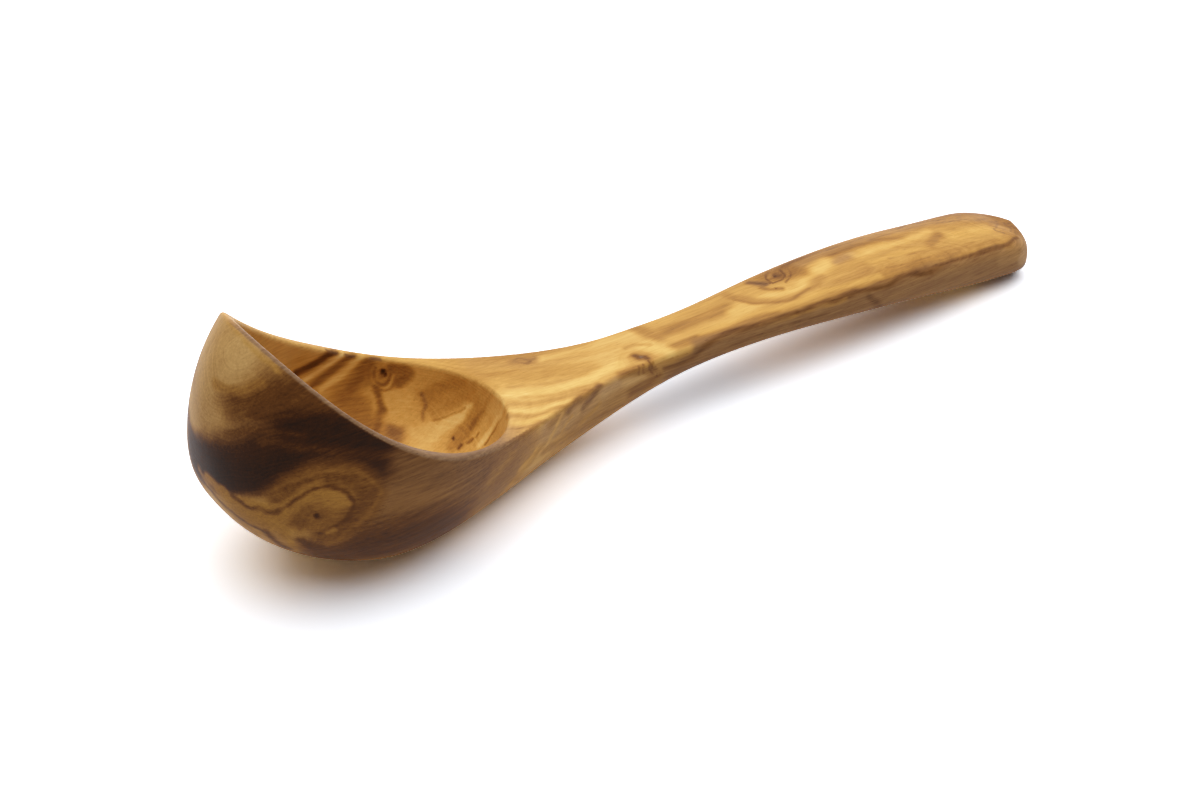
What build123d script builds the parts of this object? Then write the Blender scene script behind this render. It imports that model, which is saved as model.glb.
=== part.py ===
from build123d import *
import os
from bisect import bisect
from math import cos, pi, sin

# A soup ladle carved from one block of olive wood: a deep egg-shaped bowl with a raised front lip,
# a sawn rim that runs down from the lip and back along the neck, and an arched, flat-sided handle.
# X runs from the bowl to the handle's end, Z is up, and the ladle lies as it is set down on a table.

# Overall sizes, measured from the place where the bowl rests
length = 301.0
bowl_front = 49.0
bowl_half_width = 36.3
belt_height = 40.5
dome_height = 98.5

# The raised lip at the front of the rim
lip_setback = 13.2
lip_height = 84.0
rim_overrun = 12.0

# The neck and the handle
neck_height = 24.2
grip_half_width = 15.9
arch_height = 15.2
end_height = 14.6
rest_flat_depth = 0.2

# The hollow
front_wall = 7.0
side_wall = 4.6
floor_thickness = 7.0
hollow_back = 45.6
hollow_widest = 1.0

# How square a cross-section's corners are: 2 is an ellipse, more is squarer, less is more pointed
bowl_fullness = 2.6
flank_fullness = 1.8
lean_fullness = 1.4
handle_fullness = 3.3
plan_fullness = 2.2
chin_fullness = 1.5
heel_fullness = 2.8
back_fullness = 2.1
hollow_fullness = 2.3
round_fullness = 2.0

# How far a cutter is drawn past what it cuts
overrun = 20.0

# Cross-sections along the blank and the hollow, and points round the front and up one flank
blank_sections = 64
hollow_sections = 20
front_steps = 9
flank_steps = 9
fine_steps = 240
halvings = 40

back_reach = length - bowl_front

# The blank's outline from above: shares of the reach, and half widths as shares of the grip's
plan_reach_shares = (0.033, 0.095, 0.16, 0.22, 0.285, 0.345, 0.41, 0.475, 0.575, 0.695, 0.815, 0.93, 0.98)
plan_width_shares = (2.21, 1.92, 1.53, 1.15, 0.83, 0.67, 0.633, 0.684, 0.815, 0.95, 1.003, 0.985, 0.855)

# Its underside from the side: shares of the reach, and heights as shares of the arch
keel_reach_shares = (0.02, 0.095, 0.16, 0.22, 0.285, 0.345, 0.41, 0.475, 0.535, 0.66, 0.785, 0.91, 0.985)
keel_height_shares = (0.0, 0.0, 0.045, 0.155, 0.35, 0.59, 0.845, 0.99, 1.0, 0.83, 0.56, 0.21, 0.06)

# The level where a cross-section is widest, as shares of the neck's height
belt_reach_shares = (0.0, 0.095, 0.17, 0.24, 0.31, 0.38, 0.475, 0.575, 0.695, 0.815, 0.91, 0.985)
belt_height_shares = (1.674, 1.674, 1.66, 1.5, 1.2, 0.94, 0.8, 0.8, 0.725, 0.6, 0.46, 0.33)

# The top of the blank, as shares of the neck's height: over the bowl and neck it is sawn away
crown_reach_shares = (0.02, 0.095, 0.17, 0.24, 0.31, 0.38, 0.44, 0.54, 0.66, 0.785, 0.88, 0.96, 0.985)
crown_height_shares = (4.07, 4.0, 3.6, 2.8, 1.85, 1.17, 1.035, 1.012, 1.003, 0.935, 0.815, 0.68, 0.61)

# Where a cross-section changes from the bowl's egg shape to the handle's soft rectangle
neck_start_share = 0.18
neck_finish_share = 0.46

# The sawn rim behind the lip: shares of the reach, and heights as shares of the neck's height
rim_reach_shares = (-0.048, 0.02, 0.12, 0.24, 0.36, 0.44, 0.54)
rim_height_shares = (2.26, 1.728, 1.296, 1.108, 1.02, 1.018, 1.04)


def swell(share, first, second):
    """Size left at a share of the way to a rounded end: 1 at the root, 0 at the end."""
    return (1 - share**first) ** (1 / second)


def guide(front_points, reach_shares, height_shares, unit, last_height):
    """A guide line from the bowl's foremost point to the handle's end, drawn in X and Z."""
    points = [Vector(x, 0, z) for x, z in front_points]
    for reach, height in zip(reach_shares, height_shares):
        points.append(Vector(back_reach * reach, 0, unit * height))
    points.append(Vector(back_reach, 0, last_height))
    return Edge.make_spline(points)


def height_at(line, x):
    """The guide line's height at x, found by halving the stretch that holds it."""
    low, high = 0.0, 1.0
    for _ in range(halvings):
        middle = (low + high) / 2
        if (line @ middle).X < x:
            low = middle
        else:
            high = middle
    return (line @ low).Z


def flank(x, half_width, under, belt, crown, low_power, high_power, high_bulge):
    """Fine points up one flank of a cross-section, from the keel to the crown."""
    fine = [Vector(x, 0, under)]
    for step in range(1, fine_steps):
        angle = pi * step / fine_steps - pi / 2
        across, rise = abs(cos(angle)), abs(sin(angle))
        if step * 2 > fine_steps:
            y = half_width * across ** (2 / high_power)
            z = belt + (crown - belt) * rise ** (2 / high_bulge)
        else:
            y = half_width * across ** (2 / low_power)
            z = belt - (belt - under) * rise ** (2 / low_power)
        fine.append(Vector(x, y, z))
    fine.append(Vector(x, 0, crown))
    return fine


def evenly(fine, count):
    """Points spaced evenly along a row of fine points."""
    walked = [0.0]
    for first, second in zip(fine, fine[1:]):
        walked.append(walked[-1] + (second - first).length)
    points = []
    for step in range(count + 1):
        goal = walked[-1] * step / count
        near = min(bisect(walked, goal), len(fine) - 1) - 1
        share = (goal - walked[near]) / (walked[near + 1] - walked[near])
        points.append(fine[near] + (fine[near + 1] - fine[near]) * share)
    return points


def section(*sizes):
    """One closed cross-section, made of a right and a left flank."""
    fine = flank(*sizes)
    steps = [step / flank_steps for step in range(flank_steps + 1)]
    edges = []
    for side in (fine, [Vector(point.X, -point.Y, point.Z) for point in reversed(fine)]):
        edges.append(Edge.make_spline(evenly(side, flank_steps), parameters=steps))
    return Wire(edges)


def front_arc(size, first, second):
    """Points round the front of the bowl: how far ahead they lie, and what share of the size."""
    points = []
    for step in range(front_steps):
        ahead = cos(step * pi / 2 / front_steps)
        points.append((-bowl_front * ahead, size * swell(ahead, first, second)))
    return points


def blank():
    """The carved outside, before the rim is sawn and the bowl is hollowed."""
    rest = belt_height + rest_flat_depth
    plan = guide(
        front_arc(bowl_half_width, plan_fullness, plan_fullness),
        plan_reach_shares,
        plan_width_shares,
        grip_half_width,
        0,
    )
    keel = guide(
        [(x, belt_height - drop) for x, drop in front_arc(rest, chin_fullness, round_fullness)],
        keel_reach_shares,
        keel_height_shares,
        arch_height,
        0,
    )
    belt = guide(
        [(-bowl_front, belt_height), (-bowl_front / 2, belt_height)],
        belt_reach_shares,
        belt_height_shares,
        neck_height,
        end_height / 2,
    )
    dome = front_arc(dome_height - belt_height, round_fullness, plan_fullness)
    crown = guide(
        [(x, belt_height + rise) for x, rise in dome],
        crown_reach_shares,
        crown_height_shares,
        neck_height,
        end_height,
    )
    sections = [Vertex(-bowl_front, 0, belt_height)]
    for step in range(1, blank_sections):
        x = length * (1 - cos(pi * step / blank_sections)) / 2 - bowl_front
        share = (x / back_reach - neck_start_share) / (neck_finish_share - neck_start_share)
        share = min(max(share, 0), 1)
        square = share * share * (3 - 2 * share)
        sections.append(
            section(
                x,
                height_at(plan, x),
                height_at(keel, x),
                height_at(belt, x),
                height_at(crown, x),
                bowl_fullness + (handle_fullness - bowl_fullness) * square,
                flank_fullness + (handle_fullness - flank_fullness) * square,
                lean_fullness + (handle_fullness - lean_fullness) * square,
            )
        )
    sections.append(Vertex(back_reach, 0, end_height / 2))
    return Solid.make_loft(sections, ruled=True)


def saw_waste():
    """What the saw takes off above the rim: an outline seen from the side, drawn through the width."""
    lip_x = lip_setback - bowl_front
    rim = [Vector(lip_x, 0, lip_height)]
    for reach, height in zip(rim_reach_shares, rim_height_shares):
        rim.append(Vector(back_reach * reach, 0, neck_height * height))
    curve = Edge.make_spline(rim)
    steep = curve % 0
    front = curve @ 0 - steep * (rim_overrun / abs(steep.X))
    back = curve @ 1
    top = dome_height + overrun
    outline = Wire(
        [
            Edge.make_line(front, curve @ 0),
            curve,
            Edge.make_line(back, Vector(back.X, 0, top)),
            Edge.make_line(Vector(back.X, 0, top), Vector(front.X, 0, top)),
            Edge.make_line(Vector(front.X, 0, top), front),
        ]
    )
    half_width = bowl_half_width + overrun
    face = Face(outline).moved(Location((0, -half_width, 0)))
    return Solid.extrude(face, Vector(0, 2 * half_width, 0))


def hollow_core():
    """The scooped space, drawn past the rim so that it cuts clean through it."""
    front_depth = hollow_widest + bowl_front - front_wall
    back_depth = hollow_back - hollow_widest
    half_width = bowl_half_width - side_wall
    depth = belt_height - floor_thickness
    sections = [Vertex(hollow_widest - front_depth, 0, belt_height)]
    for step in range(1, hollow_sections):
        along = -cos(pi * step / hollow_sections)
        if along < 0:
            x = hollow_widest + front_depth * along
            wide = swell(-along, plan_fullness, plan_fullness)
            deep = swell(-along, chin_fullness, round_fullness)
        else:
            x = hollow_widest + back_depth * along
            wide = swell(along, back_fullness, plan_fullness)
            deep = swell(along, heel_fullness, heel_fullness)
        high = swell(abs(along), round_fullness, plan_fullness)
        sections.append(
            section(
                x,
                half_width * wide,
                belt_height - depth * deep,
                belt_height,
                belt_height + (dome_height - belt_height - front_wall) * high,
                hollow_fullness,
                round_fullness,
                round_fullness,
            )
        )
    sections.append(Vertex(hollow_back, 0, belt_height))
    return Solid.make_loft(sections, ruled=True)


def table():
    """The table under the ladle, which leaves the small flat that the bowl rests on."""
    width = 2 * (bowl_half_width + overrun)
    slab = Box(length + 2 * overrun, width, overrun)
    return slab.moved(Location((length / 2 - bowl_front, 0, -overrun / 2)))


ladle = blank() - saw_waste() - hollow_core() - table()
ladle = ladle.moved(Location((bowl_front - length / 2, 0, 0)))

os.makedirs("parts", exist_ok=True)
export_step(ladle, "parts/ladle.step")
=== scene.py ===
import math

import bpy
import numpy as np
from mathutils import Matrix, Vector
from mathutils.bvhtree import BVHTree


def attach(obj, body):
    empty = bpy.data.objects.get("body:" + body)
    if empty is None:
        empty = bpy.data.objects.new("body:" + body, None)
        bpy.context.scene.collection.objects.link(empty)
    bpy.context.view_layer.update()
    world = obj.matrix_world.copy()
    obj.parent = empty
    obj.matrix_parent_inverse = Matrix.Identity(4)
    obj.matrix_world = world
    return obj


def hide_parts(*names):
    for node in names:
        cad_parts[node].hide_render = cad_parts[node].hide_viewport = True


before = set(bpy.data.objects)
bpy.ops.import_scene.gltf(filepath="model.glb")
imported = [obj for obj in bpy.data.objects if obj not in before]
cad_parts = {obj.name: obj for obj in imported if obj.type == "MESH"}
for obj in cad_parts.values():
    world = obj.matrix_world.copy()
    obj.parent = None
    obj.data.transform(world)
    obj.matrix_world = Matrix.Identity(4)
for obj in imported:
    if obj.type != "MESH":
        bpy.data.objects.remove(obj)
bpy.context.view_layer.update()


# The camera: a short telephoto, above the bowl's near side and looking along the handle. It stands
# first because the wood's figure is laid out by where it shows in the picture.
view_turn = math.radians(-34.87)
view_height = math.radians(34.11)
view_roll = math.radians(-1.2)
camera_place = Vector((-0.3406, -0.4598, 0.39))
sensor_width = 36.0
lens_length = 67.1
picture_width = 1200
picture_height = 800

camera_lens = bpy.data.cameras.new("camera")
camera_lens.sensor_fit = "HORIZONTAL"
camera_lens.sensor_width = sensor_width
camera_lens.lens = lens_length
camera = bpy.data.objects.new("camera", camera_lens)
bpy.context.scene.collection.objects.link(camera)
away = Vector(
    (
        math.sin(view_turn) * math.cos(view_height),
        -math.cos(view_turn) * math.cos(view_height),
        math.sin(view_height),
    )
)
level = Vector((math.cos(view_turn), math.sin(view_turn), 0))
upward = away.cross(level)
across = math.cos(view_roll) * level + math.sin(view_roll) * upward
upright = away.cross(across)
turned = Matrix((across, upright, away)).transposed().to_4x4()
camera.matrix_world = Matrix.Translation(camera_place) @ turned
bpy.context.scene.camera = camera
bpy.context.scene.view_settings.view_transform = "Standard"


# The table top: a plain white board, wide enough to fill the view, with its far edge out of sight.
# It takes the ladle's soft shadow. The camera sees it lifted to the backdrop's white, a little
# cooler than it is, so that light thrown back by the wood doesn't turn the shadow brown.
table_reach = 3.0
table_white = 0.85
table_seen_white = (1.7, 1.76, 1.86)

table_mesh = bpy.data.meshes.new("table_top")
table_mesh.from_pydata(
    [
        (-table_reach, -table_reach, 0),
        (table_reach, -table_reach, 0),
        (table_reach, table_reach, 0),
        (-table_reach, table_reach, 0),
    ],
    [],
    [(0, 1, 2, 3)],
)
table_top = bpy.data.objects.new("table_top", table_mesh)
bpy.context.scene.collection.objects.link(table_top)


def seen_directly(nodes, links):
    """1 where the camera looks, also in a gloss or through glass, and 0 for all other light."""
    path = nodes.new("ShaderNodeLightPath")
    seen = path.outputs["Is Camera Ray"]
    for ray in ("Is Glossy Ray", "Is Transmission Ray"):
        either = nodes.new("ShaderNodeMath")
        either.operation = "MAXIMUM"
        links.new(seen, either.inputs[0])
        links.new(path.outputs[ray], either.inputs[1])
        seen = either.outputs[0]
    return seen


table_paint = bpy.data.materials.new("table_paint")
table_paint.use_nodes = True
table_nodes = table_paint.node_tree.nodes
table_links = table_paint.node_tree.links
table_nodes.clear()
table_out = table_nodes.new("ShaderNodeOutputMaterial")
table_matt = table_nodes.new("ShaderNodeBsdfDiffuse")
table_seen = table_nodes.new("ShaderNodeMix")
table_seen.data_type = "RGBA"
table_seen.inputs["A"].default_value = (table_white, table_white, table_white, 1)
table_seen.inputs["B"].default_value = (*table_seen_white, 1)
table_links.new(seen_directly(table_nodes, table_links), table_seen.inputs["Factor"])
table_links.new(table_seen.outputs["Result"], table_matt.inputs["Color"])
table_links.new(table_matt.outputs[0], table_out.inputs["Surface"])
table_mesh.materials.append(table_paint)


# The ladle: one block of olive wood, band-sawn to its outline, hollowed with a gouge and sanded
# round by hand, then rubbed with oil. Nothing is glued or fastened to it.

# Sizes in millimetres from the place where the bowl rests, as the part's own source has them, but
# the hollow's back edge lies 1.4 mm further forward, and the rim is lifted, as in the photograph
length = 301.0
bowl_front = 49.0
bowl_half_width = 36.3
belt_height = 40.5
dome_height = 98.5
lip_setback = 13.2
lip_height = 84.0
rim_overrun = 12.0
neck_height = 24.2
grip_half_width = 15.9
arch_height = 15.2
end_height = 14.6
rest_flat_depth = 0.2
front_wall = 7.0
side_wall = 4.6
floor_thickness = 7.0
hollow_back = 44.2
hollow_widest = 1.0
rim_lift = 0.4
rim_lift_shares = (0.12, 0.44)

# How square the cross-sections and outlines are: 2 is an ellipse
bowl_fullness = 2.6
flank_fullness = 1.8
lean_fullness = 1.4
handle_fullness = 3.3
neck_extra_fullness = 1.2
plan_fullness = 2.2
chin_fullness = 1.5
heel_fullness = 2.8
back_fullness = 2.1
hollow_fullness = 2.3
round_fullness = 2.0

neck_start_share = 0.18
neck_finish_share = 0.46
square_off_share = 0.55
square_gone_share = 0.85
plan_reach_shares = (0.033, 0.095, 0.16, 0.22, 0.285, 0.345, 0.41, 0.475, 0.575, 0.695, 0.815, 0.93, 0.98)
plan_width_shares = (2.21, 1.92, 1.53, 1.15, 0.83, 0.67, 0.633, 0.684, 0.815, 0.95, 1.003, 0.985, 0.855)
keel_reach_shares = (0.02, 0.095, 0.16, 0.22, 0.285, 0.345, 0.41, 0.475, 0.535, 0.66, 0.785, 0.91, 0.985)
keel_height_shares = (0.0, 0.0, 0.045, 0.155, 0.35, 0.59, 0.845, 0.99, 1.0, 0.83, 0.56, 0.21, 0.06)
belt_reach_shares = (0.0, 0.095, 0.17, 0.24, 0.31, 0.38, 0.475, 0.575, 0.695, 0.815, 0.91, 0.985)
belt_height_shares = (1.674, 1.674, 1.66, 1.5, 1.2, 0.94, 0.8, 0.8, 0.725, 0.6, 0.46, 0.33)
crown_reach_shares = (0.02, 0.095, 0.17, 0.24, 0.31, 0.38, 0.44, 0.54, 0.66, 0.785, 0.88, 0.96, 0.985)
crown_height_shares = (4.07, 4.0, 3.6, 2.8, 1.85, 1.17, 1.035, 1.012, 1.003, 0.935, 0.815, 0.68, 0.61)
rim_reach_shares = (-0.048, 0.02, 0.12, 0.24, 0.36, 0.44, 0.54)
rim_height_shares = (2.26, 1.728, 1.296, 1.108, 1.02, 1.018, 1.04)

# How finely the wood is worked, and how far its edges are eased with sandpaper. A wear is the
# shares of the reach where it starts and where it is full, and how often the wood is rubbed there.
grit = 0.6
batten_points = 6000
edge_easing = 1.4
rest_easing = 0.3
sanding_passes = 7
rubs_a_pass = 2
front_cuts = 9
end_skin = 0.05
clear_share = 0.3
handle_wear = (0.35, 0.5, 3)
end_wear = (0.93, 0.975, 9)
tiny = 1e-4
feeler = 0.02
MM = 0.001

back_reach = length - bowl_front


def swell(share, first, second):
    """Size left at a share of the way to a rounded end."""
    return np.clip(1 - np.clip(share, 0, 1) ** first, 0, 1) ** (1 / second)


def between(share, low, high):
    """0 up to low, 1 from high, and a smooth rise from one to the other."""
    share = np.clip((share - low) / (high - low), 0, 1)
    return share * share * (3 - 2 * share)


def bent_through(points):
    """A smooth batten bent through points given as x and z, returned as many fine points."""
    points = np.array(points, float)
    knots = np.concatenate([[0], np.cumsum(np.hypot(*np.diff(points, axis=0).T))])
    gaps = np.diff(knots)
    size = len(points)
    stiff = np.eye(size)
    load = np.zeros((size, 2))
    for k in range(1, size - 1):
        stiff[k, k - 1 : k + 2] = gaps[k - 1], 2 * (gaps[k - 1] + gaps[k]), gaps[k]
        slopes = (points[k + 1] - points[k]) / gaps[k] - (points[k] - points[k - 1]) / gaps[k - 1]
        load[k] = 6 * slopes
    bend = np.linalg.solve(stiff, load)
    fine = np.linspace(0, knots[-1], batten_points)
    k = np.clip(np.searchsorted(knots, fine, "right") - 1, 0, size - 2)
    gap = gaps[k][:, None]
    ahead = (fine - knots[k])[:, None]
    left = gap - ahead
    curve = (bend[k] * left**3 + bend[k + 1] * ahead**3) / (6 * gap)
    curve += (points[k] / gap - bend[k] * gap / 6) * left
    curve += (points[k + 1] / gap - bend[k + 1] * gap / 6) * ahead
    return curve


def guide(front_points, reach_shares, height_shares, unit, last):
    """A guide line along the blank, from the bowl's foremost point to the handle's end."""
    body = [(back_reach * reach, unit * height) for reach, height in zip(reach_shares, height_shares)]
    return bent_through(front_points + body + [(back_reach, last)])


def front_arc(size, first, second):
    """Points round the front of the bowl."""
    aheads = [math.cos(step * math.pi / 2 / front_cuts) for step in range(front_cuts)]
    return [(-bowl_front * ahead, float(size * swell(ahead, first, second))) for ahead in aheads]


plan_front = front_arc(bowl_half_width, plan_fullness, plan_fullness)
plan = guide(plan_front, plan_reach_shares, plan_width_shares, grip_half_width, 0)
keel_drops = front_arc(belt_height + rest_flat_depth, chin_fullness, round_fullness)
keel_front = [(x, belt_height - drop) for x, drop in keel_drops]
keel = guide(keel_front, keel_reach_shares, keel_height_shares, arch_height, 0)
belt_front = [(-bowl_front, belt_height), (-bowl_front / 2, belt_height)]
belt = guide(belt_front, belt_reach_shares, belt_height_shares, neck_height, end_height / 2)
crown_rises = front_arc(dome_height - belt_height, round_fullness, plan_fullness)
crown_front = [(x, belt_height + rise) for x, rise in crown_rises]
crown = guide(crown_front, crown_reach_shares, crown_height_shares, neck_height, end_height)

rim_points = [(lip_setback - bowl_front, lip_height + rim_lift)]
for reach, up in zip(rim_reach_shares, rim_height_shares):
    lift = rim_lift * (1 - between(reach, *rim_lift_shares))
    rim_points.append((back_reach * reach, neck_height * up + lift))
rim = bent_through(rim_points)
steep = (rim[1] - rim[0]) / (rim[1, 0] - rim[0, 0])
rim = np.vstack([rim[:1] - steep * rim_overrun, rim])
rim_slope = np.gradient(rim[:, 1], rim[:, 0])


def egg(y, z, half_width, under, belt, crown, low_power, high_power, high_bulge):
    """Below 0 inside a cross-section, 0 on its line and above 0 outside it."""
    side = np.abs(y) / np.maximum(half_width, tiny)
    above = np.clip((z - belt) / np.maximum(crown - belt, tiny), 0, None)
    below = np.clip((belt - z) / np.maximum(belt - under, tiny), 0, None)
    upper = (side**high_power + above**high_bulge) ** (2 / (high_power + high_bulge))
    lower = (side**low_power + below**low_power) ** (1 / low_power)
    return np.where(z > belt, upper, lower) - 1


def blank_side(x, y, z):
    """The carved outside as it is before the sawing and hollowing."""
    share = x / back_reach
    square = between(share, neck_start_share, neck_finish_share)
    extra = neck_extra_fullness * square * (1 - between(share, square_off_share, square_gone_share))
    beyond = np.abs(x - np.clip(x, end_skin - bowl_front, back_reach - end_skin)) / end_skin
    x = np.clip(x, end_skin - bowl_front, back_reach - end_skin)
    return beyond + egg(
        y,
        z,
        np.interp(x, *plan.T),
        np.interp(x, *keel.T),
        np.interp(x, *belt.T),
        np.interp(x, *crown.T),
        bowl_fullness + (handle_fullness - bowl_fullness) * square,
        flank_fullness + (handle_fullness - flank_fullness) * square + extra,
        lean_fullness + (handle_fullness - lean_fullness) * square + extra,
    )


def hollow_side(x, y, z):
    """The scooped space: below 0 within it."""
    ahead = (hollow_widest - x) / (hollow_widest + bowl_front - front_wall)
    behind = (x - hollow_widest) / (hollow_back - hollow_widest)
    front_wide = swell(ahead, plan_fullness, plan_fullness)
    back_wide = swell(behind, back_fullness, plan_fullness)
    front_deep = swell(ahead, chin_fullness, round_fullness)
    back_deep = swell(behind, heel_fullness, heel_fullness)
    high = swell(np.maximum(ahead, behind), round_fullness, plan_fullness)
    return egg(
        y,
        z,
        (bowl_half_width - side_wall) * np.where(ahead > 0, front_wide, back_wide),
        belt_height - (belt_height - floor_thickness) * np.where(ahead > 0, front_deep, back_deep),
        belt_height,
        belt_height + (dome_height - belt_height - front_wall) * high,
        hollow_fullness,
        round_fullness,
        round_fullness,
    )


def above_saw(x, y, z):
    """How far a place lies above the sawn rim."""
    return (z - np.interp(x, *rim.T)) / np.hypot(1, np.interp(x, rim[:, 0], rim_slope))


def nearness(shape, places):
    """Distance from a shape's surface, below 0 inside it, and the direction straight out of it."""
    value = shape(*places.T)
    slope = np.empty_like(places)
    for axis in range(3):
        step = np.zeros(3)
        step[axis] = feeler
        slope[:, axis] = (shape(*(places + step).T) - shape(*(places - step).T)) / (2 * feeler)
    steepness = np.maximum(np.linalg.norm(slope, axis=1), tiny)
    return value / steepness, slope / steepness[:, None]


def eased(first, second, easing):
    """Two surfaces that meet in an edge, with the edge rounded over."""
    apart = np.clip((first[0] - second[0]) / easing, -1, 1)
    distance = np.maximum(first[0], second[0]) + (1 - np.abs(apart)) ** 2 * easing / 4
    return distance, first[1] * ((1 + apart) / 2)[:, None] + second[1] * ((1 - apart) / 2)[:, None]


def ladle_side(places):
    """Distance from the finished ladle's surface, and the direction out of it."""
    sawn = eased(nearness(blank_side, places), nearness(above_saw, places), edge_easing)
    scoop, inward = nearness(hollow_side, places)
    clear = hollow_side(*places.T) > clear_share
    scoop[clear] = np.maximum(scoop[clear], 2 * edge_easing)
    hollowed = eased(sawn, (-scoop, -inward), edge_easing)
    down = np.tile((0.0, 0.0, -1.0), (len(places), 1))
    return eased(hollowed, (-places[:, 2], down), rest_easing)


# The block is divided into small cells. Each cell that the surface runs through gets one corner of
# the mesh, and the corners are spread evenly and rubbed down until they lie on the surface.
block_low = np.array((-bowl_front, -bowl_half_width, 0)) - 2 * grit
block_high = np.array((back_reach, bowl_half_width, lip_height)) + 2 * grit
lines = []
for low, high in zip(block_low, block_high):
    lines.append(low + grit * np.arange(math.ceil((high - low) / grit) + 1))
lines[1] = lines[1] - (lines[1][0] + lines[1][-1]) / 2
wood_here = np.empty([len(line) for line in lines], bool)
grid_y, grid_z = np.meshgrid(lines[1], lines[2], indexing="ij")
for k, x in enumerate(lines[0]):
    x = np.full(grid_y.shape, x)
    kept = (blank_side(x, grid_y, grid_z) < 0) & (above_saw(x, grid_y, grid_z) < 0)
    wood_here[k] = kept & (hollow_side(x, grid_y, grid_z) > 0) & (grid_z > 0)
cells = np.array(wood_here.shape) - 1
corners_in = np.zeros(cells, np.int8)
for a, b, c in np.ndindex(2, 2, 2):
    corners_in += wood_here[a : cells[0] + a, b : cells[1] + b, c : cells[2] + c]
crossed = (corners_in > 0) & (corners_in < 8)
number = np.full(cells, -1)
number[crossed] = np.arange(np.count_nonzero(crossed))
places = np.stack([line[at] + grit / 2 for line, at in zip(lines, np.nonzero(crossed))], 1)
quads = []
for order in ((0, 1, 2), (1, 2, 0), (2, 0, 1)):
    filled, owner = wood_here.transpose(order), number.transpose(order)
    low, high = filled[:-1, 1:-1, 1:-1], filled[1:, 1:-1, 1:-1]
    i, j, k = np.nonzero(low != high)
    ring = np.stack([owner[i, j, k], owner[i, j + 1, k], owner[i, j + 1, k + 1], owner[i, j, k + 1]], 1)
    facing_back = ~low[i, j, k]
    ring[facing_back] = ring[facing_back, ::-1]
    quads.append(ring)
quads = np.concatenate(quads)
sides = np.concatenate([quads[:, (a, (a + 1) % 4)] for a in range(4)])
neighbours = np.bincount(sides[:, 0], minlength=len(places))[:, None]
for sanding in range(sanding_passes):
    around = [np.bincount(sides[:, 0], places[sides[:, 1], axis], len(places)) for axis in range(3)]
    places = (places + np.stack(around, 1) / neighbours) / 2
    for rub in range(rubs_a_pass):
        distance, out = ladle_side(places)
        distance = np.clip(distance, -grit, grit) / np.maximum((out**2).sum(1), tiny)
        places = places - distance[:, None] * out
for start_share, finish_share, passes in (handle_wear, end_wear):
    worn = between(places[:, 0] / back_reach, start_share, finish_share)[:, None]
    for rub in range(passes):
        around = [np.bincount(sides[:, 0], places[sides[:, 1], axis], len(places)) for axis in range(3)]
        places = places + worn * (np.stack(around, 1) / neighbours - places) / 2
out = out / np.linalg.norm(out, axis=1)[:, None]
places[:, 0] += bowl_front - length / 2
places[:, 2] = np.maximum(places[:, 2], 0)

ladle_mesh = bpy.data.meshes.new("ladle_wood")
ladle_mesh.from_pydata((places * MM).tolist(), [], quads.tolist())
ladle_mesh.polygons.foreach_set("use_smooth", [True] * len(quads))
ladle = bpy.data.objects.new("ladle_wood", ladle_mesh)
bpy.context.scene.collection.objects.link(ladle)

# The figure. Olive wood grows in uneven layers round its pith, which here runs just inside the
# bowl's raised front, and the layers bend round every knot. Tone goes from 0, nearly black, to 1,
# cream, and dullness from 0, honey coloured, to 1, greyish. In the hollow, on the handle's top and
# on the near rim, they also carry painted light, as marked below.
pith_pixel = (244, 350)
layer_warp = 5.0
layer_patch = (70.0, 22.0, 22.0)
fine_warp = 1.3
fine_patch = (24.0, 6.0, 6.0)
figure_seed = 11
plain_tone = 0.62
streak_depth = 0.15
streak_layer = 5.0
streak_run = 90.0
patch_depth = 0.12
heart_depth = 0.32
heart_layer = 7.0
heart_band = (0.25, 0.55)
plain_dullness = 0.1
lattice_size = 32
least_facing = 0.1
ragged_reach = 0.7
ragged_patch = (6.0, 2.5, 2.5)


def cloud(spots, patch, seed):
    """Soft random patches of a given size, from -1 to 1."""
    lattice = np.random.default_rng(seed).uniform(-1, 1, (lattice_size, lattice_size, lattice_size))
    spots = spots / np.array(patch)
    base = np.floor(spots).astype(int)
    part = spots - base
    part = part * part * (3 - 2 * part)
    total = np.zeros(len(spots))
    for corner in np.ndindex(2, 2, 2):
        near = (base + corner) % lattice_size
        total += np.prod(np.where(corner, part, 1 - part), axis=1) * lattice[tuple(near.T)]
    return total


wobble = [cloud(places, ragged_patch, figure_seed + 5 + axis) for axis in range(3)]
ragged = places + ragged_reach * np.stack(wobble, 1)

wood_tree = BVHTree.FromPolygons((places * MM).tolist(), quads.tolist())
pixel_slope = sensor_width / (picture_width * lens_length)


def smooth_line(points):
    """A smooth line through points of the picture, as points a pixel apart."""
    points = np.array(points, float)
    if len(points) == 1:
        return points
    ends = np.vstack([2 * points[0] - points[1], points, 2 * points[-1] - points[-2]])
    line = []
    for a, b, c, d in zip(ends, ends[1:], ends[2:], ends[3:]):
        count = max(int(np.hypot(*(c - b))), 1)
        for t in np.arange(count) / count:
            bend = (2 * a - 5 * b + 4 * c - d) * t * t + (3 * b - a - 3 * c + d) * t**3
            line.append((2 * b + (c - a) * t + bend) / 2)
    line.append(points[-1])
    return np.array(line)


def wood_behind(pixels):
    """The places of the wood that show at pixels of the picture, and the way that it faces there."""
    found = []
    for right, down in pixels:
        ray = across * (right - picture_width / 2) * pixel_slope
        ray = ray + upright * (picture_height / 2 - down) * pixel_slope - away
        spot, facing, _, _ = wood_tree.ray_cast(camera_place, ray)
        if spot is not None:
            found.append((*(spot / MM), *facing))
    return np.array(found)


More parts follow.
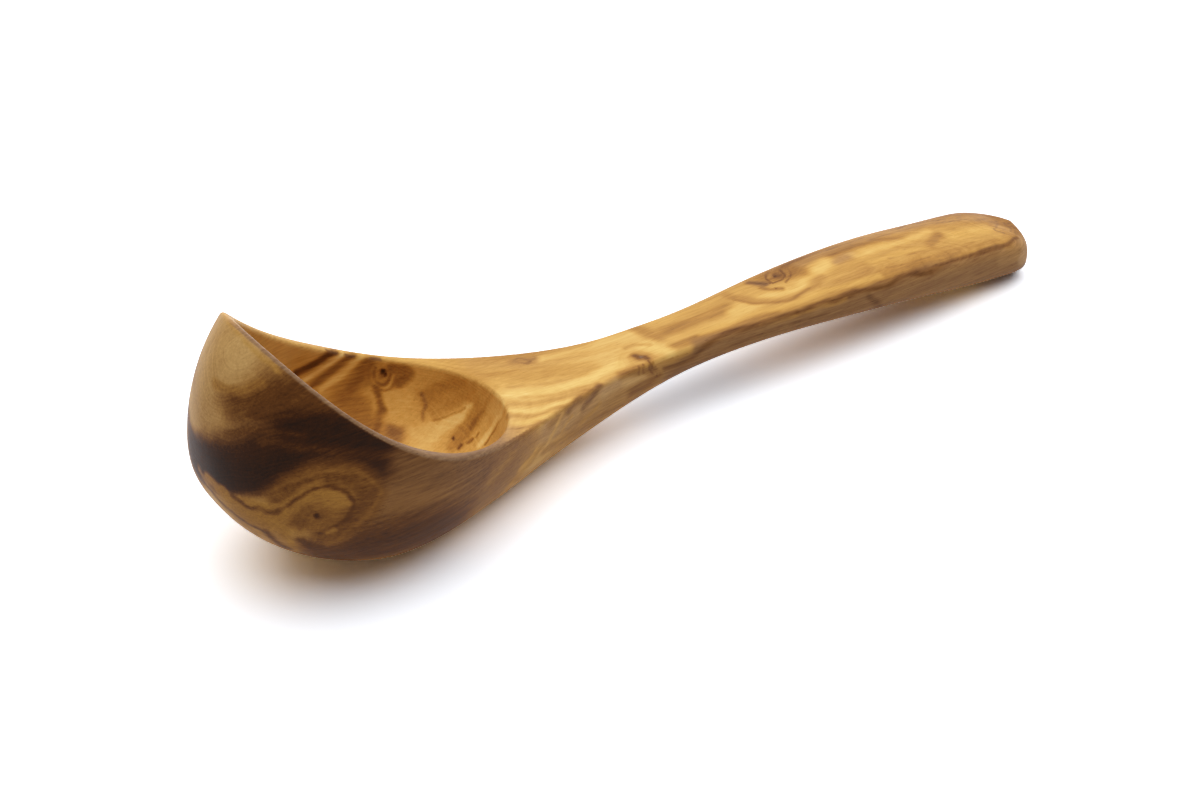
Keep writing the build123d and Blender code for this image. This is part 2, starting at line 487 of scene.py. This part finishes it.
def beside(pixels, width, softness):
    """The corners near a streak through pixels of the picture, and 1 on it to 0 off it for each."""
    line = wood_behind(smooth_line(pixels))
    reach = width * (1 + softness) / 2
    lowest, highest = line[:, :3].min(0) - reach, line[:, :3].max(0) + reach
    near = np.nonzero(((ragged > lowest) & (ragged < highest)).all(1))[0]
    distance = np.full(len(near), np.inf)
    for spot in line:
        there = np.linalg.norm(ragged[near] - spot[:3], axis=1)
        facing = out[near] @ spot[3:] > least_facing
        distance = np.where(facing, np.minimum(distance, there), distance)
    return near, 1 - between(distance, width * (1 - softness) / 2, reach)


pith = wood_behind([pith_pixel])[0]
layer = np.hypot(places[:, 1] - pith[1], places[:, 2] - pith[2])
layer += layer_warp * cloud(places, layer_patch, figure_seed)
layer += fine_warp * cloud(places, fine_patch, figure_seed + 1)
by_layer = np.stack([places[:, 0], layer, places[:, 1]], 1)
streaky = cloud(by_layer, (streak_run, streak_layer, streak_run), figure_seed + 2)
tone = plain_tone + streak_depth * streaky
tone += patch_depth * cloud(places, layer_patch, figure_seed + 3)
heart = cloud(by_layer, (streak_run, heart_layer, streak_run), figure_seed + 4)
tone -= heart_depth * between(heart, *heart_band)
dullness = np.full(len(places), plain_dullness)

# Streaks, each as tone, dullness, strength, width in millimetres, softness, and the pixels of the
# picture that it runs through: first the broad patches, then what lies on them
bowl_streaks = (
    (0.42, 0.18, 0.95, 34, 0.6, ((500, 470), (440, 495), (390, 520))),
    (0.2, 0.0, 0.9, 20, 0.7, ((445, 530), (385, 545), (335, 556))),
    (0.35, 0.2, 0.9, 12, 0.8, ((395, 455), (430, 465), (480, 468))),
    (0.31, 0.05, 0.95, 20, 0.7, ((250, 400), (290, 402), (330, 412))),
    (0.24, 0.1, 0.9, 17, 0.8, ((262, 425), (300, 422), (345, 425), (385, 442))),
    (0.7, 0.25, 0.95, 26, 0.7, ((236, 335), (216, 362), (204, 390))),
    (0.62, 0.25, 0.8, 10, 0.9, ((240, 374), (222, 397), (206, 414))),
    (0.29, 0.0, 0.9, 9, 0.9, ((236, 402), (262, 396), (290, 396), (318, 408))),
    (0.76, 0.25, 0.7, 9, 0.9, ((243, 340), (236, 372))),
    (0.5, 0.0, 0.7, 2.6, 0.9, ((216, 384), (238, 391), (262, 385))),
    (0.12, 0.1, 0.95, 14, 0.5, ((196, 458), (235, 464), (285, 460), (335, 456), (375, 458))),
    (0.04, 0.0, 0.95, 9, 0.8, ((292, 428), (330, 430), (362, 438), (398, 444))),
    (0.06, 0.1, 0.95, 10, 0.7, ((215, 470), (240, 478), (268, 472), (292, 466))),
    (0.25, 0.0, 0.6, 2.6, 0.9, ((262, 442), (315, 449), (355, 454), (405, 455))),
    (0.28, 0.0, 0.5, 1.6, 0.9, ((225, 436), (262, 430), (305, 436))),
    (0.22, 0.0, 0.5, 1.8, 0.9, ((250, 414), (290, 416), (325, 410), (350, 415))),
    (0.66, 0.0, 0.6, 1.4, 0.9, ((228, 322), (250, 345), (268, 362), (280, 373))),
    (0.36, 0.0, 0.95, 9, 0.5, (
        (282, 497), (305, 482), (333, 476), (360, 483), (368, 500), (352, 521), (330, 538),
    )),
    (0.32, 0.0, 0.9, 14, 0.6, ((330, 508), (348, 500))),
    (0.54, 0.0, 0.95, 4.2, 0.5, (
        (208, 478), (228, 496), (250, 506), (275, 511), (292, 505), (306, 492), (318, 487),
    )),
    (0.5, 0.0, 0.95, 9, 0.6, ((243, 518), (265, 521), (290, 518), (312, 504), (338, 500))),
    (0.54, 0.0, 0.9, 5, 0.7, ((308, 502), (325, 496), (346, 499))),
    (0.44, 0.0, 0.9, 4, 0.7, ((300, 527), (318, 527), (334, 518))),
    (0.26, 0.0, 0.85, 1.4, 0.9, (
        (232, 494), (245, 505), (259, 509), (273, 513), (287, 508), (300, 496), (315, 489),
    )),
    (0.26, 0.0, 0.85, 1.4, 0.9, (
        (315, 489), (332, 486), (347, 491), (354, 502), (349, 516), (335, 527), (320, 534),
    )),
    (0.44, 0.0, 0.7, 1.2, 0.9, (
        (290, 483), (306, 474), (334, 470), (362, 475), (378, 486), (380, 494),
    )),
    (0.46, 0.0, 0.7, 1.3, 0.9, ((380, 494), (370, 511), (348, 531), (327, 545))),
    (0.34, 0.0, 0.9, 4.6, 0.9, ((300, 522), (309, 514), (320, 514))),
    (0.1, 0.0, 0.95, 1.7, 0.7, ((318, 516),)),
    (0.56, 0.0, 0.8, 1.6, 0.8, ((327, 533), (335, 530))),
    (0.52, 0.0, 0.85, 2.6, 0.7, ((283, 528), (288, 540), (293, 550))),
    (0.24, 0.0, 0.85, 3.0, 0.8, ((266, 533), (276, 541), (286, 548))),
    (0.24, 0.0, 0.85, 3.4, 0.8, ((300, 540), (310, 546), (322, 551))),
    (0.5, 0.0, 0.85, 2.4, 0.8, ((200, 470), (212, 492), (232, 514), (256, 534))),
    (0.27, 0.2, 0.85, 1.4, 0.8, ((205, 484), (222, 503), (240, 518), (262, 532))),
    (0.37, 0.2, 0.9, 7, 0.8, ((400, 459), (425, 466), (450, 469), (485, 468))),
    (0.58, 0.0, 0.9, 4.0, 0.8, ((502, 494), (525, 468), (546, 440))),
    (0.66, 0.0, 0.9, 2.2, 0.9, ((522, 468), (536, 450), (546, 434))),
    (0.5, 0.1, 0.8, 3.0, 0.9, ((488, 484), (508, 462), (524, 440))),
)
rim_streaks = (
    (0.3, 0.3, 0.8, 1.0, 0.9, ((325, 349), (331, 351), (337, 353))),
    (0.32, 0.3, 0.8, 0.9, 0.9, ((345, 354), (350, 356), (354, 357))),
    (0.36, 0.3, 0.8, 0.9, 0.9, ((371, 358), (375, 359), (380, 360))),
)
# Inside the bowl the streaks follow the wood's grain and its knot, but all are laid paler than the wood
# is: painted light for the bright inside of the bowl.
hollow_streaks_and_light = (
    (0.7, 0.1, 0.95, 20, 0.7, ((246, 329), (262, 336), (285, 346), (316, 359))),
    (0.72, 0.0, 0.95, 40, 0.7, ((395, 395), (430, 415), (450, 430))),
    (0.62, 0.0, 0.85, 9, 0.8, ((300, 368), (335, 395), (370, 425))),
    (0.48, 0.0, 0.9, 9, 0.7, ((366, 370), (350, 388), (350, 405), (366, 424))),
    (0.24, 0.0, 0.95, 2.8, 0.6, ((334, 350), (318, 361), (296, 373))),
    (0.38, 0.0, 0.9, 2.2, 0.7, ((353, 354), (337, 367), (312, 385))),
    (0.86, 0.1, 0.95, 1.3, 0.6, ((343, 354), (325, 368), (304, 380))),
    (0.84, 0.0, 0.9, 2.0, 0.7, ((362, 358), (343, 372), (322, 389))),
    (0.42, 0.0, 0.85, 3.0, 0.8, ((368, 362), (360, 374), (352, 388))),
    (0.76, 0.0, 0.9, 9, 0.8, ((392, 398), (398, 418), (415, 438))),
    (0.76, 0.0, 0.9, 7, 0.8, ((405, 392), (418, 382), (432, 376))),
    (0.62, 0.0, 0.9, 6.0, 0.7, ((382, 374),)),
    (0.36, 0.0, 0.9, 1.0, 0.9, (
        (374, 369), (372, 375), (375, 381), (382, 384), (389, 380), (391, 373), (388, 368),
    )),
    (0.42, 0.0, 0.8, 1.0, 0.9, (
        (369, 366), (367, 374), (370, 383), (379, 389), (391, 387), (397, 377),
    )),
    (0.36, 0.0, 0.9, 3.0, 0.8, ((382, 374),)),
    (0.0, 0.0, 0.95, 1.5, 0.7, ((381, 373),)),
    (0.0, 0.0, 0.9, 0.9, 0.7, ((385, 375),)),
    (0.42, 0.0, 0.9, 3.6, 0.6, ((392, 369), (408, 373), (400, 382))),
    (0.4, 0.0, 0.9, 2.2, 0.9, ((377, 388), (379, 400), (384, 409))),
    (0.4, 0.0, 0.9, 2.0, 0.9, ((384, 409), (379, 418), (376, 430))),
    (0.36, 0.2, 0.9, 3.2, 0.7, ((392, 431), (399, 436))),
    (0.52, 0.1, 0.6, 5.4, 0.7, ((388, 432), (402, 436))),
    (0.66, 0.0, 0.9, 10, 0.7, ((430, 388), (455, 382), (484, 386))),
    (0.6, 0.0, 0.9, 7, 0.8, ((430, 400), (450, 402), (474, 396))),
    (0.54, 0.0, 0.85, 3.0, 0.8, ((424, 398), (440, 388), (462, 384))),
    (0.88, 0.0, 0.95, 4.0, 0.6, ((470, 408), (448, 424), (425, 444))),
    (0.82, 0.0, 0.9, 5.0, 0.7, ((428, 428), (412, 439), (426, 445))),
    (0.42, 0.1, 0.8, 1.2, 0.8, ((423, 396), (424, 408), (423, 422))),
    (0.5, 0.0, 0.75, 0.9, 0.8, ((423, 422), (447, 417), (465, 407))),
    (0.56, 0.0, 0.95, 5.6, 0.5, ((490, 390), (478, 412), (456, 442))),
    (0.42, 0.0, 0.8, 1.4, 0.8, ((497, 384), (486, 404), (470, 428))),
    (0.2, 0.0, 0.9, 0.9, 0.6, ((453, 438),)),
    (0.3, 0.0, 0.8, 1.0, 0.9, ((459, 448), (463, 444))),
    (0.34, 0.0, 0.8, 1.1, 0.9, ((468, 442), (472, 438))),
    (0.36, 0.0, 0.8, 0.9, 0.9, ((477, 436), (479, 432))),
    (0.92, 0.0, 0.95, 1.9, 0.6, ((504, 404), (494, 425), (480, 446))),
    (0.36, 0.0, 0.85, 0.8, 0.7, ((507, 409), (496, 428), (485, 444))),
)
neck_streaks = (
    (0.8, 0.05, 0.9, 22, 0.7, ((520, 395), (575, 375), (630, 350), (680, 330))),
    (0.64, 0.1, 0.9, 6, 0.9, ((470, 362), (512, 364), (550, 358), (578, 348))),
    (0.66, 0.05, 0.9, 7, 0.8, ((482, 372), (520, 376), (560, 372), (588, 368))),
    (0.86, 0.05, 0.85, 3.4, 0.9, ((540, 360), (580, 350), (630, 334))),
    (0.9, 0.0, 0.9, 4.0, 0.8, ((508, 394), (545, 391), (590, 378), (620, 364))),
    (0.9, 0.0, 0.9, 2.4, 0.8, ((509, 411), (540, 410), (570, 400))),
    (0.86, 0.0, 0.9, 2.6, 0.8, ((506, 423), (530, 421), (552, 414))),
    (0.66, 0.1, 0.8, 1.6, 1.0, ((508, 386), (535, 385), (570, 378))),
    (0.62, 0.1, 0.8, 2.0, 1.0, ((508, 404), (545, 401), (586, 390))),
    (0.66, 0.1, 0.7, 1.2, 1.0, ((520, 398), (560, 393), (598, 383))),
    (0.62, 0.1, 0.8, 1.6, 1.0, ((507, 417), (535, 415), (562, 406))),
    (0.54, 0.2, 0.8, 1.2, 0.9, ((506, 429), (530, 427), (548, 421))),
    (0.52, 0.2, 0.8, 3.4, 1.0, ((514, 362), (533, 360))),
    (0.42, 0.2, 0.6, 0.8, 0.9, ((513, 361), (517, 358), (524, 359), (529, 361), (535, 358))),
    (0.36, 0.2, 0.7, 0.8, 0.9, ((518, 363), (526, 364), (531, 362))),
    (0.56, 0.1, 0.85, 4.4, 0.8, ((636, 328), (648, 333), (660, 338))),
    (0.58, 0.1, 0.8, 6, 0.9, ((655, 334), (690, 324), (735, 312))),
    (0.8, 0.0, 0.8, 2.4, 0.9, ((690, 330), (720, 318), (752, 308))),
    (0.88, 0.0, 0.9, 4.4, 0.8, ((646, 346), (658, 348), (668, 351))),
    (0.6, 0.1, 0.7, 1.6, 1.0, ((624, 348), (636, 345), (650, 345))),
    (0.46, 0.1, 0.9, 4.6, 0.9, ((639, 357), (645, 357))),
    (0.3, 0.1, 0.85, 2.0, 1.0, ((636, 356), (640, 358))),
    (0.3, 0.1, 0.85, 1.8, 1.0, ((646, 357), (648, 358))),
    (0.42, 0.9, 0.9, 1.2, 0.8, ((642, 357),)),
)
neck_side_streaks = (
    (0.61, 0.3, 0.95, 9, 0.5, ((548, 432), (575, 414), (605, 398), (625, 388))),
    (0.56, 0.2, 0.95, 8, 0.6, ((575, 430), (605, 410), (635, 392), (665, 376))),
    (0.51, 0.1, 0.9, 4, 0.6, ((545, 451), (580, 430), (615, 408), (650, 388))),
    (0.5, 0.1, 0.85, 3, 0.9, ((550, 424), (563, 413), (575, 403), (592, 393))),
    (0.44, 0.2, 0.9, 2.4, 0.8, ((569, 412), (574, 404), (580, 398))),
    (0.4, 0.25, 0.9, 2.6, 0.8, ((583, 408), (592, 398), (601, 388))),
    (0.7, 0.1, 0.9, 1.7, 0.9, ((546, 446), (554, 430), (562, 414))),
    (0.64, 0.1, 0.85, 1.2, 0.9, ((560, 434), (566, 424), (572, 416))),
    (0.6, 0.1, 0.85, 1.6, 0.9, ((580, 424), (592, 412), (600, 402))),
    (0.66, 0.4, 0.9, 3.4, 0.8, ((604, 392), (613, 386), (622, 381))),
    (0.72, 0.3, 0.9, 2.6, 0.8, ((624, 382), (636, 379), (644, 376))),
    (0.54, 0.2, 0.8, 1.4, 0.9, ((608, 404), (620, 396), (630, 388))),
    (0.44, 0.1, 0.8, 3.0, 1.0, ((622, 375), (636, 371), (648, 370))),
    (0.38, 0.1, 0.85, 3.6, 1.0, ((632, 392), (645, 386), (658, 378))),
    (0.26, 0.1, 0.7, 0.8, 1.0, ((648, 361), (651, 368), (652, 374))),
    (0.26, 0.1, 0.7, 0.8, 1.0, ((652, 363), (655, 371), (656, 377))),
    (0.3, 0.1, 0.6, 0.7, 1.0, ((656, 366), (659, 374))),
    (0.32, 0.1, 0.6, 0.7, 1.0, ((643, 365), (645, 373))),
    (0.32, 0.1, 0.6, 0.7, 1.0, ((639, 367), (640, 374))),
)
handle_streaks_and_highlight = (
    (0.72, 0.05, 0.9, 24, 0.7, ((700, 320), (760, 295), (830, 275), (900, 252), (980, 235))),
    (0.5, 0.1, 0.75, 4.6, 1.0, ((668, 331), (694, 322), (726, 308))),
    (0.5, 0.1, 0.75, 3.4, 0.9, ((676, 345), (705, 334), (740, 323), (775, 311))),
    (0.6, 0.25, 0.9, 4.4, 0.9, (
        (800, 264), (830, 250), (870, 237), (910, 227), (950, 220), (985, 218),
    )),
    (0.36, 0.4, 0.6, 0.6, 0.9, ((826, 251), (870, 236), (920, 223), (960, 217))),
    (0.4, 0.4, 0.6, 0.6, 0.9, ((850, 246), (900, 231), (945, 222), (985, 219))),
    (0.84, 0.0, 0.85, 5, 0.8, ((735, 312), (762, 300), (790, 292))),
    (0.86, 0.0, 0.9, 6, 0.8, ((800, 292), (812, 276), (826, 262))),
    (0.58, 0.3, 0.85, 3.4, 0.9, ((836, 262), (844, 258), (853, 254))),
    # Two pale streaks along the top of the handle: a painted highlight.
    (0.84, 0.0, 0.75, 4.4, 1.0, ((858, 255), (872, 249), (884, 246))),
    (0.84, 0.0, 0.75, 3.2, 1.0, ((884, 246), (906, 240), (928, 232))),
    (0.6, 0.1, 0.8, 5.0, 0.9, ((828, 290), (850, 280), (870, 270))),
    (0.54, 0.1, 0.85, 3.2, 0.8, ((924, 250), (931, 243), (940, 235))),
    (0.78, 0.0, 0.85, 5.0, 0.9, ((952, 236), (970, 231), (990, 229))),
    (0.78, 0.0, 0.7, 3.6, 1.0, ((872, 262), (900, 254), (926, 248))),
    (0.6, 0.1, 0.8, 2.6, 0.9, ((940, 256), (965, 248), (995, 240))),
    (0.52, 0.1, 0.8, 0.8, 0.9, ((886, 268), (908, 263), (930, 258))),
    (0.52, 0.1, 0.8, 0.8, 0.9, ((880, 274), (905, 267), (930, 263), (960, 252))),
    (0.58, 0.1, 0.8, 0.9, 0.9, ((890, 259), (920, 252), (950, 246), (985, 240))),
    (0.58, 0.1, 0.85, 3.4, 0.9, ((728, 296), (758, 301), (786, 299), (808, 289), (821, 277))),
    (0.46, 0.1, 0.7, 1.2, 0.9, ((733, 300), (758, 303), (788, 300), (808, 288))),
    (0.5, 0.05, 0.95, 6.4, 0.7, ((768, 277), (784, 275), (800, 272))),
    (0.32, 0.3, 0.85, 2.8, 1.0, ((749, 283), (757, 283), (764, 284))),
    (0.4, 0.1, 0.7, 1.8, 1.0, ((762, 288), (772, 290), (782, 289))),
    (0.34, 0.1, 0.9, 3.6, 0.9, ((776, 275),)),
    (0.56, 0.1, 0.8, 1.2, 0.8, ((763, 279), (770, 275))),
    (0.26, 0.1, 0.8, 0.7, 0.9, (
        (767, 272), (765, 278), (771, 283), (780, 281), (784, 275), (779, 270),
    )),
    (0.3, 0.1, 0.7, 0.7, 0.9, ((786, 283), (791, 276), (788, 269))),
    (0.14, 0.1, 0.95, 1.0, 0.7, ((774, 276),)),
    (0.16, 0.0, 0.9, 0.8, 0.7, ((776, 289),)),
    (0.76, 0.0, 0.85, 2.4, 0.9, (
        (700, 334), (724, 324), (755, 314), (790, 304), (822, 292), (850, 284), (878, 276),
    )),
    (0.66, 0.2, 0.8, 3.0, 0.8, ((998, 226), (1010, 231))),
    (0.4, 0.3, 0.85, 0.8, 0.9, ((993, 219), (997, 224), (996, 230), (1004, 233))),
    (0.4, 0.3, 0.85, 0.8, 0.9, ((1002, 222), (1008, 226), (1010, 231))),
    (0.42, 0.3, 0.85, 0.8, 0.9, ((1009, 223), (1014, 228), (1015, 234))),
)
handle_side_streaks = (
    (0.44, 0.25, 0.95, 7, 0.5, (
        (672, 374), (705, 355), (750, 340), (800, 326), (850, 311), (900, 294), (950, 280), (1003, 264),
    )),
    (0.48, 0.3, 0.95, 6, 0.5, (
        (700, 349), (750, 334), (800, 320), (850, 304), (905, 284), (950, 270), (1000, 255),
    )),
    (0.46, 0.3, 0.95, 6, 0.5, ((860, 312), (900, 299), (950, 286), (1003, 271), (1020, 264))),
    (0.55, 0.3, 0.95, 6, 0.5, ((1005, 258), (1018, 252), (1024, 243))),
    (0.6, 0.4, 0.9, 4, 0.5, ((1022, 238), (1024, 248), (1022, 260))),
    (0.34, 0.1, 0.85, 1.7, 0.9, (
        (664, 368), (684, 362), (702, 350), (724, 334), (745, 328), (772, 320), (798, 313),
    )),
    (0.32, 0.1, 0.85, 1.7, 0.9, (
        (798, 313), (826, 301), (848, 296), (858, 291), (884, 287), (900, 275), (931, 271),
    )),
    (0.34, 0.1, 0.85, 1.6, 0.9, ((931, 271), (950, 262), (972, 254), (1005, 246), (1016, 237))),
    (0.58, 0.1, 0.8, 0.9, 0.9, ((760, 326), (790, 319), (822, 307), (846, 300))),
    (0.32, 0.2, 0.7, 2.0, 0.9, ((868, 298), (874, 302), (880, 306))),
    (0.36, 0.2, 0.7, 1.0, 0.9, ((720, 348), (770, 332), (830, 312))),
)


def paint_streaks(streaks):
    """Lay each of a group of streaks on the wood: grain and marks, and in places painted light."""
    for streak_tone, streak_dullness, strength, width, softness, pixels in streaks:
        near, cover = beside(pixels, width, softness)
        tone[near] += (streak_tone - tone[near]) * cover * strength
        dullness[near] += (streak_dullness - dullness[near]) * cover * strength


paint_streaks(bowl_streaks + hollow_streaks_and_light + neck_streaks + neck_side_streaks)
paint_streaks(handle_streaks_and_highlight + handle_side_streaks)

# The sawn rim is a narrow band of dull end grain on the near side of the bowl, and paler long grain
# on the far side. It fades out towards the neck. Lengths are in millimetres. On the near side the
# band is greyed further by a painted sheen, a painted reflection of the pale room.
rim_band = 0.7
rim_fade = 0.5
rim_finish = -58.0
rim_tail = 22.0
scoop_edge = 0.02
rim_turn = (-6.0, 10.0)
near_rim_tone, far_rim_tone = 0.47, 0.8
# The near rim's greyness: partly dull end grain, partly a painted sheen.
near_rim_dull_and_sheen, far_rim_dullness = 0.6, 0.1
near_rim_cover, far_rim_cover = 0.95, 0.35

from_rest = places + (length / 2 - bowl_front, 0, 0)
on_rim = between(above_saw(*from_rest.T), -rim_band - rim_fade, -rim_band)
on_rim *= between(hollow_side(*from_rest.T), 0, scoop_edge)
on_rim *= 1 - between(places[:, 0], rim_finish - rim_tail, rim_finish)
near_side = 1 - between(places[:, 1], *rim_turn)
rim_cover = on_rim * (far_rim_cover + (near_rim_cover - far_rim_cover) * near_side)
rim_tone = far_rim_tone + (near_rim_tone - far_rim_tone) * near_side
rim_dullness_and_sheen = far_rim_dullness + (near_rim_dull_and_sheen - far_rim_dullness) * near_side
tone += (rim_tone - tone) * rim_cover
dullness += (rim_dullness_and_sheen - dullness) * rim_cover
paint_streaks(rim_streaks)

# Knots push the growth layers outwards, so that the layers close into rings round them. Each is
# given as the pixel that it shows at, its size and its push, both in millimetres.
knot_pushes = (
    ((318, 516), 9.0, 3.0),
    ((382, 374), 5.0, 3.0),
    ((642, 357), 6.0, 3.0),
    ((774, 276), 7.0, 4.0),
)
for pixel, size, push in knot_pushes:
    knot = wood_behind([pixel])[0]
    spread = np.linalg.norm(ragged - knot[:3], axis=1) / size
    layer += push * np.exp(-spread * spread)

for name, values in (("layer", layer), ("tone", tone), ("dullness", dullness)):
    ladle_mesh.attributes.new(name, "FLOAT", "POINT").data.foreach_set("value", values.astype(np.float32))

# The finish: oiled wood with fine layer lines, fibres, flames and pores. Each grain is given as how
# many fit in a metre along each axis, its detail and its roughness, but the layer lines are counted
# in a millimetre across the layers. A depth is how much a grain changes the tone.
layer_line_grain = ((1.5, 26.0, 1.0), 3.0, 0.65)
fibre_grain = ((110.0, 1500.0, 1500.0), 3.0, 0.6)
pore_grain = ((420.0, 3600.0, 3600.0), 1.0, 0.5)
flame_grain = ((28.0, 230.0, 230.0), 4.0, 0.6)
middle = 0.5
pore_rarity = 0.12
layer_line_depth = 0.2
flame_depth = 0.13
fibre_depth = 0.22
pore_depth = 0.5
wood_colours = (
    (0.0, (0.018, 0.007, 0.003)),
    (0.15, (0.052, 0.016, 0.0045)),
    (0.3, (0.145, 0.050, 0.011)),
    (0.45, (0.325, 0.137, 0.029)),
    (0.6, (0.54, 0.262, 0.052)),
    (0.75, (0.74, 0.425, 0.104)),
    (0.9, (0.88, 0.605, 0.200)),
    (1.0, (0.93, 0.700, 0.300)),
)
grey_tint = (1.35, 0.94, 0.66)
wood_gloss = 0.08
wood_roughness = 0.48
fibre_roughness = 0.25
layer_line_polish = 0.12
layer_line_relief = 0.5
pore_relief = 2.0
relief_strength = 0.35
relief_height = 0.12

wood = bpy.data.materials.new("olive_wood")
wood.use_nodes = True
wood_nodes = wood.node_tree.nodes
wood_links = wood.node_tree.links
wood_shader = wood_nodes["Principled BSDF"]


def wood_node(kind, **values):
    """A node of the wood's finish, with its named settings."""
    node = wood_nodes.new("ShaderNode" + kind)
    for name, value in values.items():
        setattr(node, name, value)
    return node


def wood_sum(kind, first, second, third=None):
    """One step of arithmetic between sockets or plain numbers."""
    node = wood_node("Math", operation=kind)
    for socket, value in zip(node.inputs, (first, second, third)):
        if isinstance(value, bpy.types.NodeSocket):
            wood_links.new(value, socket)
        elif value is not None:
            socket.default_value = value
    return node.outputs[0]


def wood_noise(vector, packed, detail, roughness):
    """Noise packed closely or loosely along each axis, centred on 0."""
    scaled = wood_node("VectorMath", operation="MULTIPLY")
    wood_links.new(vector, scaled.inputs[0])
    scaled.inputs[1].default_value = packed
    noise = wood_node("TexNoise")
    noise.inputs["Scale"].default_value = 1.0
    noise.inputs["Detail"].default_value = detail
    noise.inputs["Roughness"].default_value = roughness
    wood_links.new(scaled.outputs[0], noise.inputs["Vector"])
    return wood_sum("SUBTRACT", noise.outputs["Fac"], middle)


wood_place = wood_node("TexCoord").outputs["Object"]
wood_split = wood_node("SeparateXYZ")
wood_links.new(wood_place, wood_split.inputs[0])
layer_node = wood_node("Attribute", attribute_name="layer")
tone_node = wood_node("Attribute", attribute_name="tone")
dull_node = wood_node("Attribute", attribute_name="dullness")
layer_place = wood_node("CombineXYZ")
wood_links.new(layer_node.outputs["Fac"], layer_place.inputs[0])
wood_links.new(wood_split.outputs["X"], layer_place.inputs[1])

layer_lines = wood_noise(layer_place.outputs[0], *layer_line_grain)
fibres = wood_noise(wood_place, *fibre_grain)
pores = wood_noise(wood_place, *pore_grain)
pore_marks = wood_sum("MAXIMUM", wood_sum("SUBTRACT", pores, pore_rarity), 0.0)
flames = wood_noise(wood_place, *flame_grain)
fine_tone = wood_sum("MULTIPLY_ADD", layer_lines, layer_line_depth, tone_node.outputs["Fac"])
fine_tone = wood_sum("MULTIPLY_ADD", flames, flame_depth, fine_tone)
fine_tone = wood_sum("MULTIPLY_ADD", fibres, fibre_depth, fine_tone)
fine_tone = wood_sum("MULTIPLY_ADD", pore_marks, -pore_depth, fine_tone)

wood_ramp = wood_node("ValToRGB")
wood_links.new(fine_tone, wood_ramp.inputs["Fac"])
stops = wood_ramp.color_ramp.elements
while len(stops) < len(wood_colours):
    stops.new(middle)
for stop, (position, colour) in zip(stops, wood_colours):
    stop.position = position
    stop.color = (*colour, 1)

wood_grey = wood_node("RGBToBW")
wood_links.new(wood_ramp.outputs["Color"], wood_grey.inputs[0])
grey_brown = wood_node("Mix", data_type="RGBA", blend_type="MULTIPLY")
grey_brown.inputs["Factor"].default_value = 1.0
wood_links.new(wood_grey.outputs[0], grey_brown.inputs["A"])
grey_brown.inputs["B"].default_value = (*grey_tint, 1)
wood_mix = wood_node("Mix", data_type="RGBA")
wood_links.new(dull_node.outputs["Fac"], wood_mix.inputs["Factor"])
wood_links.new(wood_ramp.outputs["Color"], wood_mix.inputs["A"])
wood_links.new(grey_brown.outputs["Result"], wood_mix.inputs["B"])
wood_links.new(wood_mix.outputs["Result"], wood_shader.inputs["Base Color"])

wood_shader.inputs["Specular IOR Level"].default_value = wood_gloss
polish = wood_sum("MULTIPLY_ADD", fibres, fibre_roughness, wood_roughness)
polish = wood_sum("MULTIPLY_ADD", layer_lines, -layer_line_polish, polish)
wood_links.new(polish, wood_shader.inputs["Roughness"])

relief = wood_sum("MULTIPLY_ADD", layer_lines, layer_line_relief, fibres)
relief = wood_sum("MULTIPLY_ADD", pore_marks, -pore_relief, relief)
wood_bump = wood_node("Bump")
wood_bump.inputs["Strength"].default_value = relief_strength
wood_bump.inputs["Distance"].default_value = relief_height * MM
wood_links.new(relief, wood_bump.inputs["Height"])
wood_links.new(wood_bump.outputs["Normal"], wood_shader.inputs["Normal"])
ladle_mesh.materials.append(wood)

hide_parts("ladle")
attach(ladle, "root")


# The light: one large soft box over the table and a little behind the ladle, in a pale room. The
# room is dim as a light, but it shows white to the camera, in reflections and through glass.
softbox_width = 2.2
softbox_depth = 2.2
softbox_power = 23.0
softbox_place = Vector((0.14, 0.13, 0.95))
room_light_level = 0.07
room_white_level = 1.0

softbox = bpy.data.lights.new("softbox", "AREA")
softbox.shape = "RECTANGLE"
softbox.size = softbox_width
softbox.size_y = softbox_depth
softbox.energy = softbox_power
softbox_lamp = bpy.data.objects.new("softbox", softbox)
bpy.context.scene.collection.objects.link(softbox_lamp)
softbox_lamp.location = softbox_place
softbox_lamp.rotation_euler = (Vector((0, 0, 0)) - softbox_place).to_track_quat("-Z", "Y").to_euler()

room = bpy.data.worlds.new("pale_room")
bpy.context.scene.world = room
room.use_nodes = True
room_nodes = room.node_tree.nodes
room_links = room.node_tree.links
room_light = room_nodes["Background"]
room_light.inputs["Color"].default_value = (1, 1, 1, 1)
room_light.inputs["Strength"].default_value = room_light_level
room_white = room_nodes.new("ShaderNodeBackground")
room_white.inputs["Color"].default_value = (1, 1, 1, 1)
room_white.inputs["Strength"].default_value = room_white_level
room_mix = room_nodes.new("ShaderNodeMixShader")
room_links.new(seen_directly(room_nodes, room_links), room_mix.inputs[0])
room_links.new(room_light.outputs[0], room_mix.inputs[1])
room_links.new(room_white.outputs[0], room_mix.inputs[2])
room_links.new(room_mix.outputs[0], room_nodes["World Output"].inputs["Surface"])
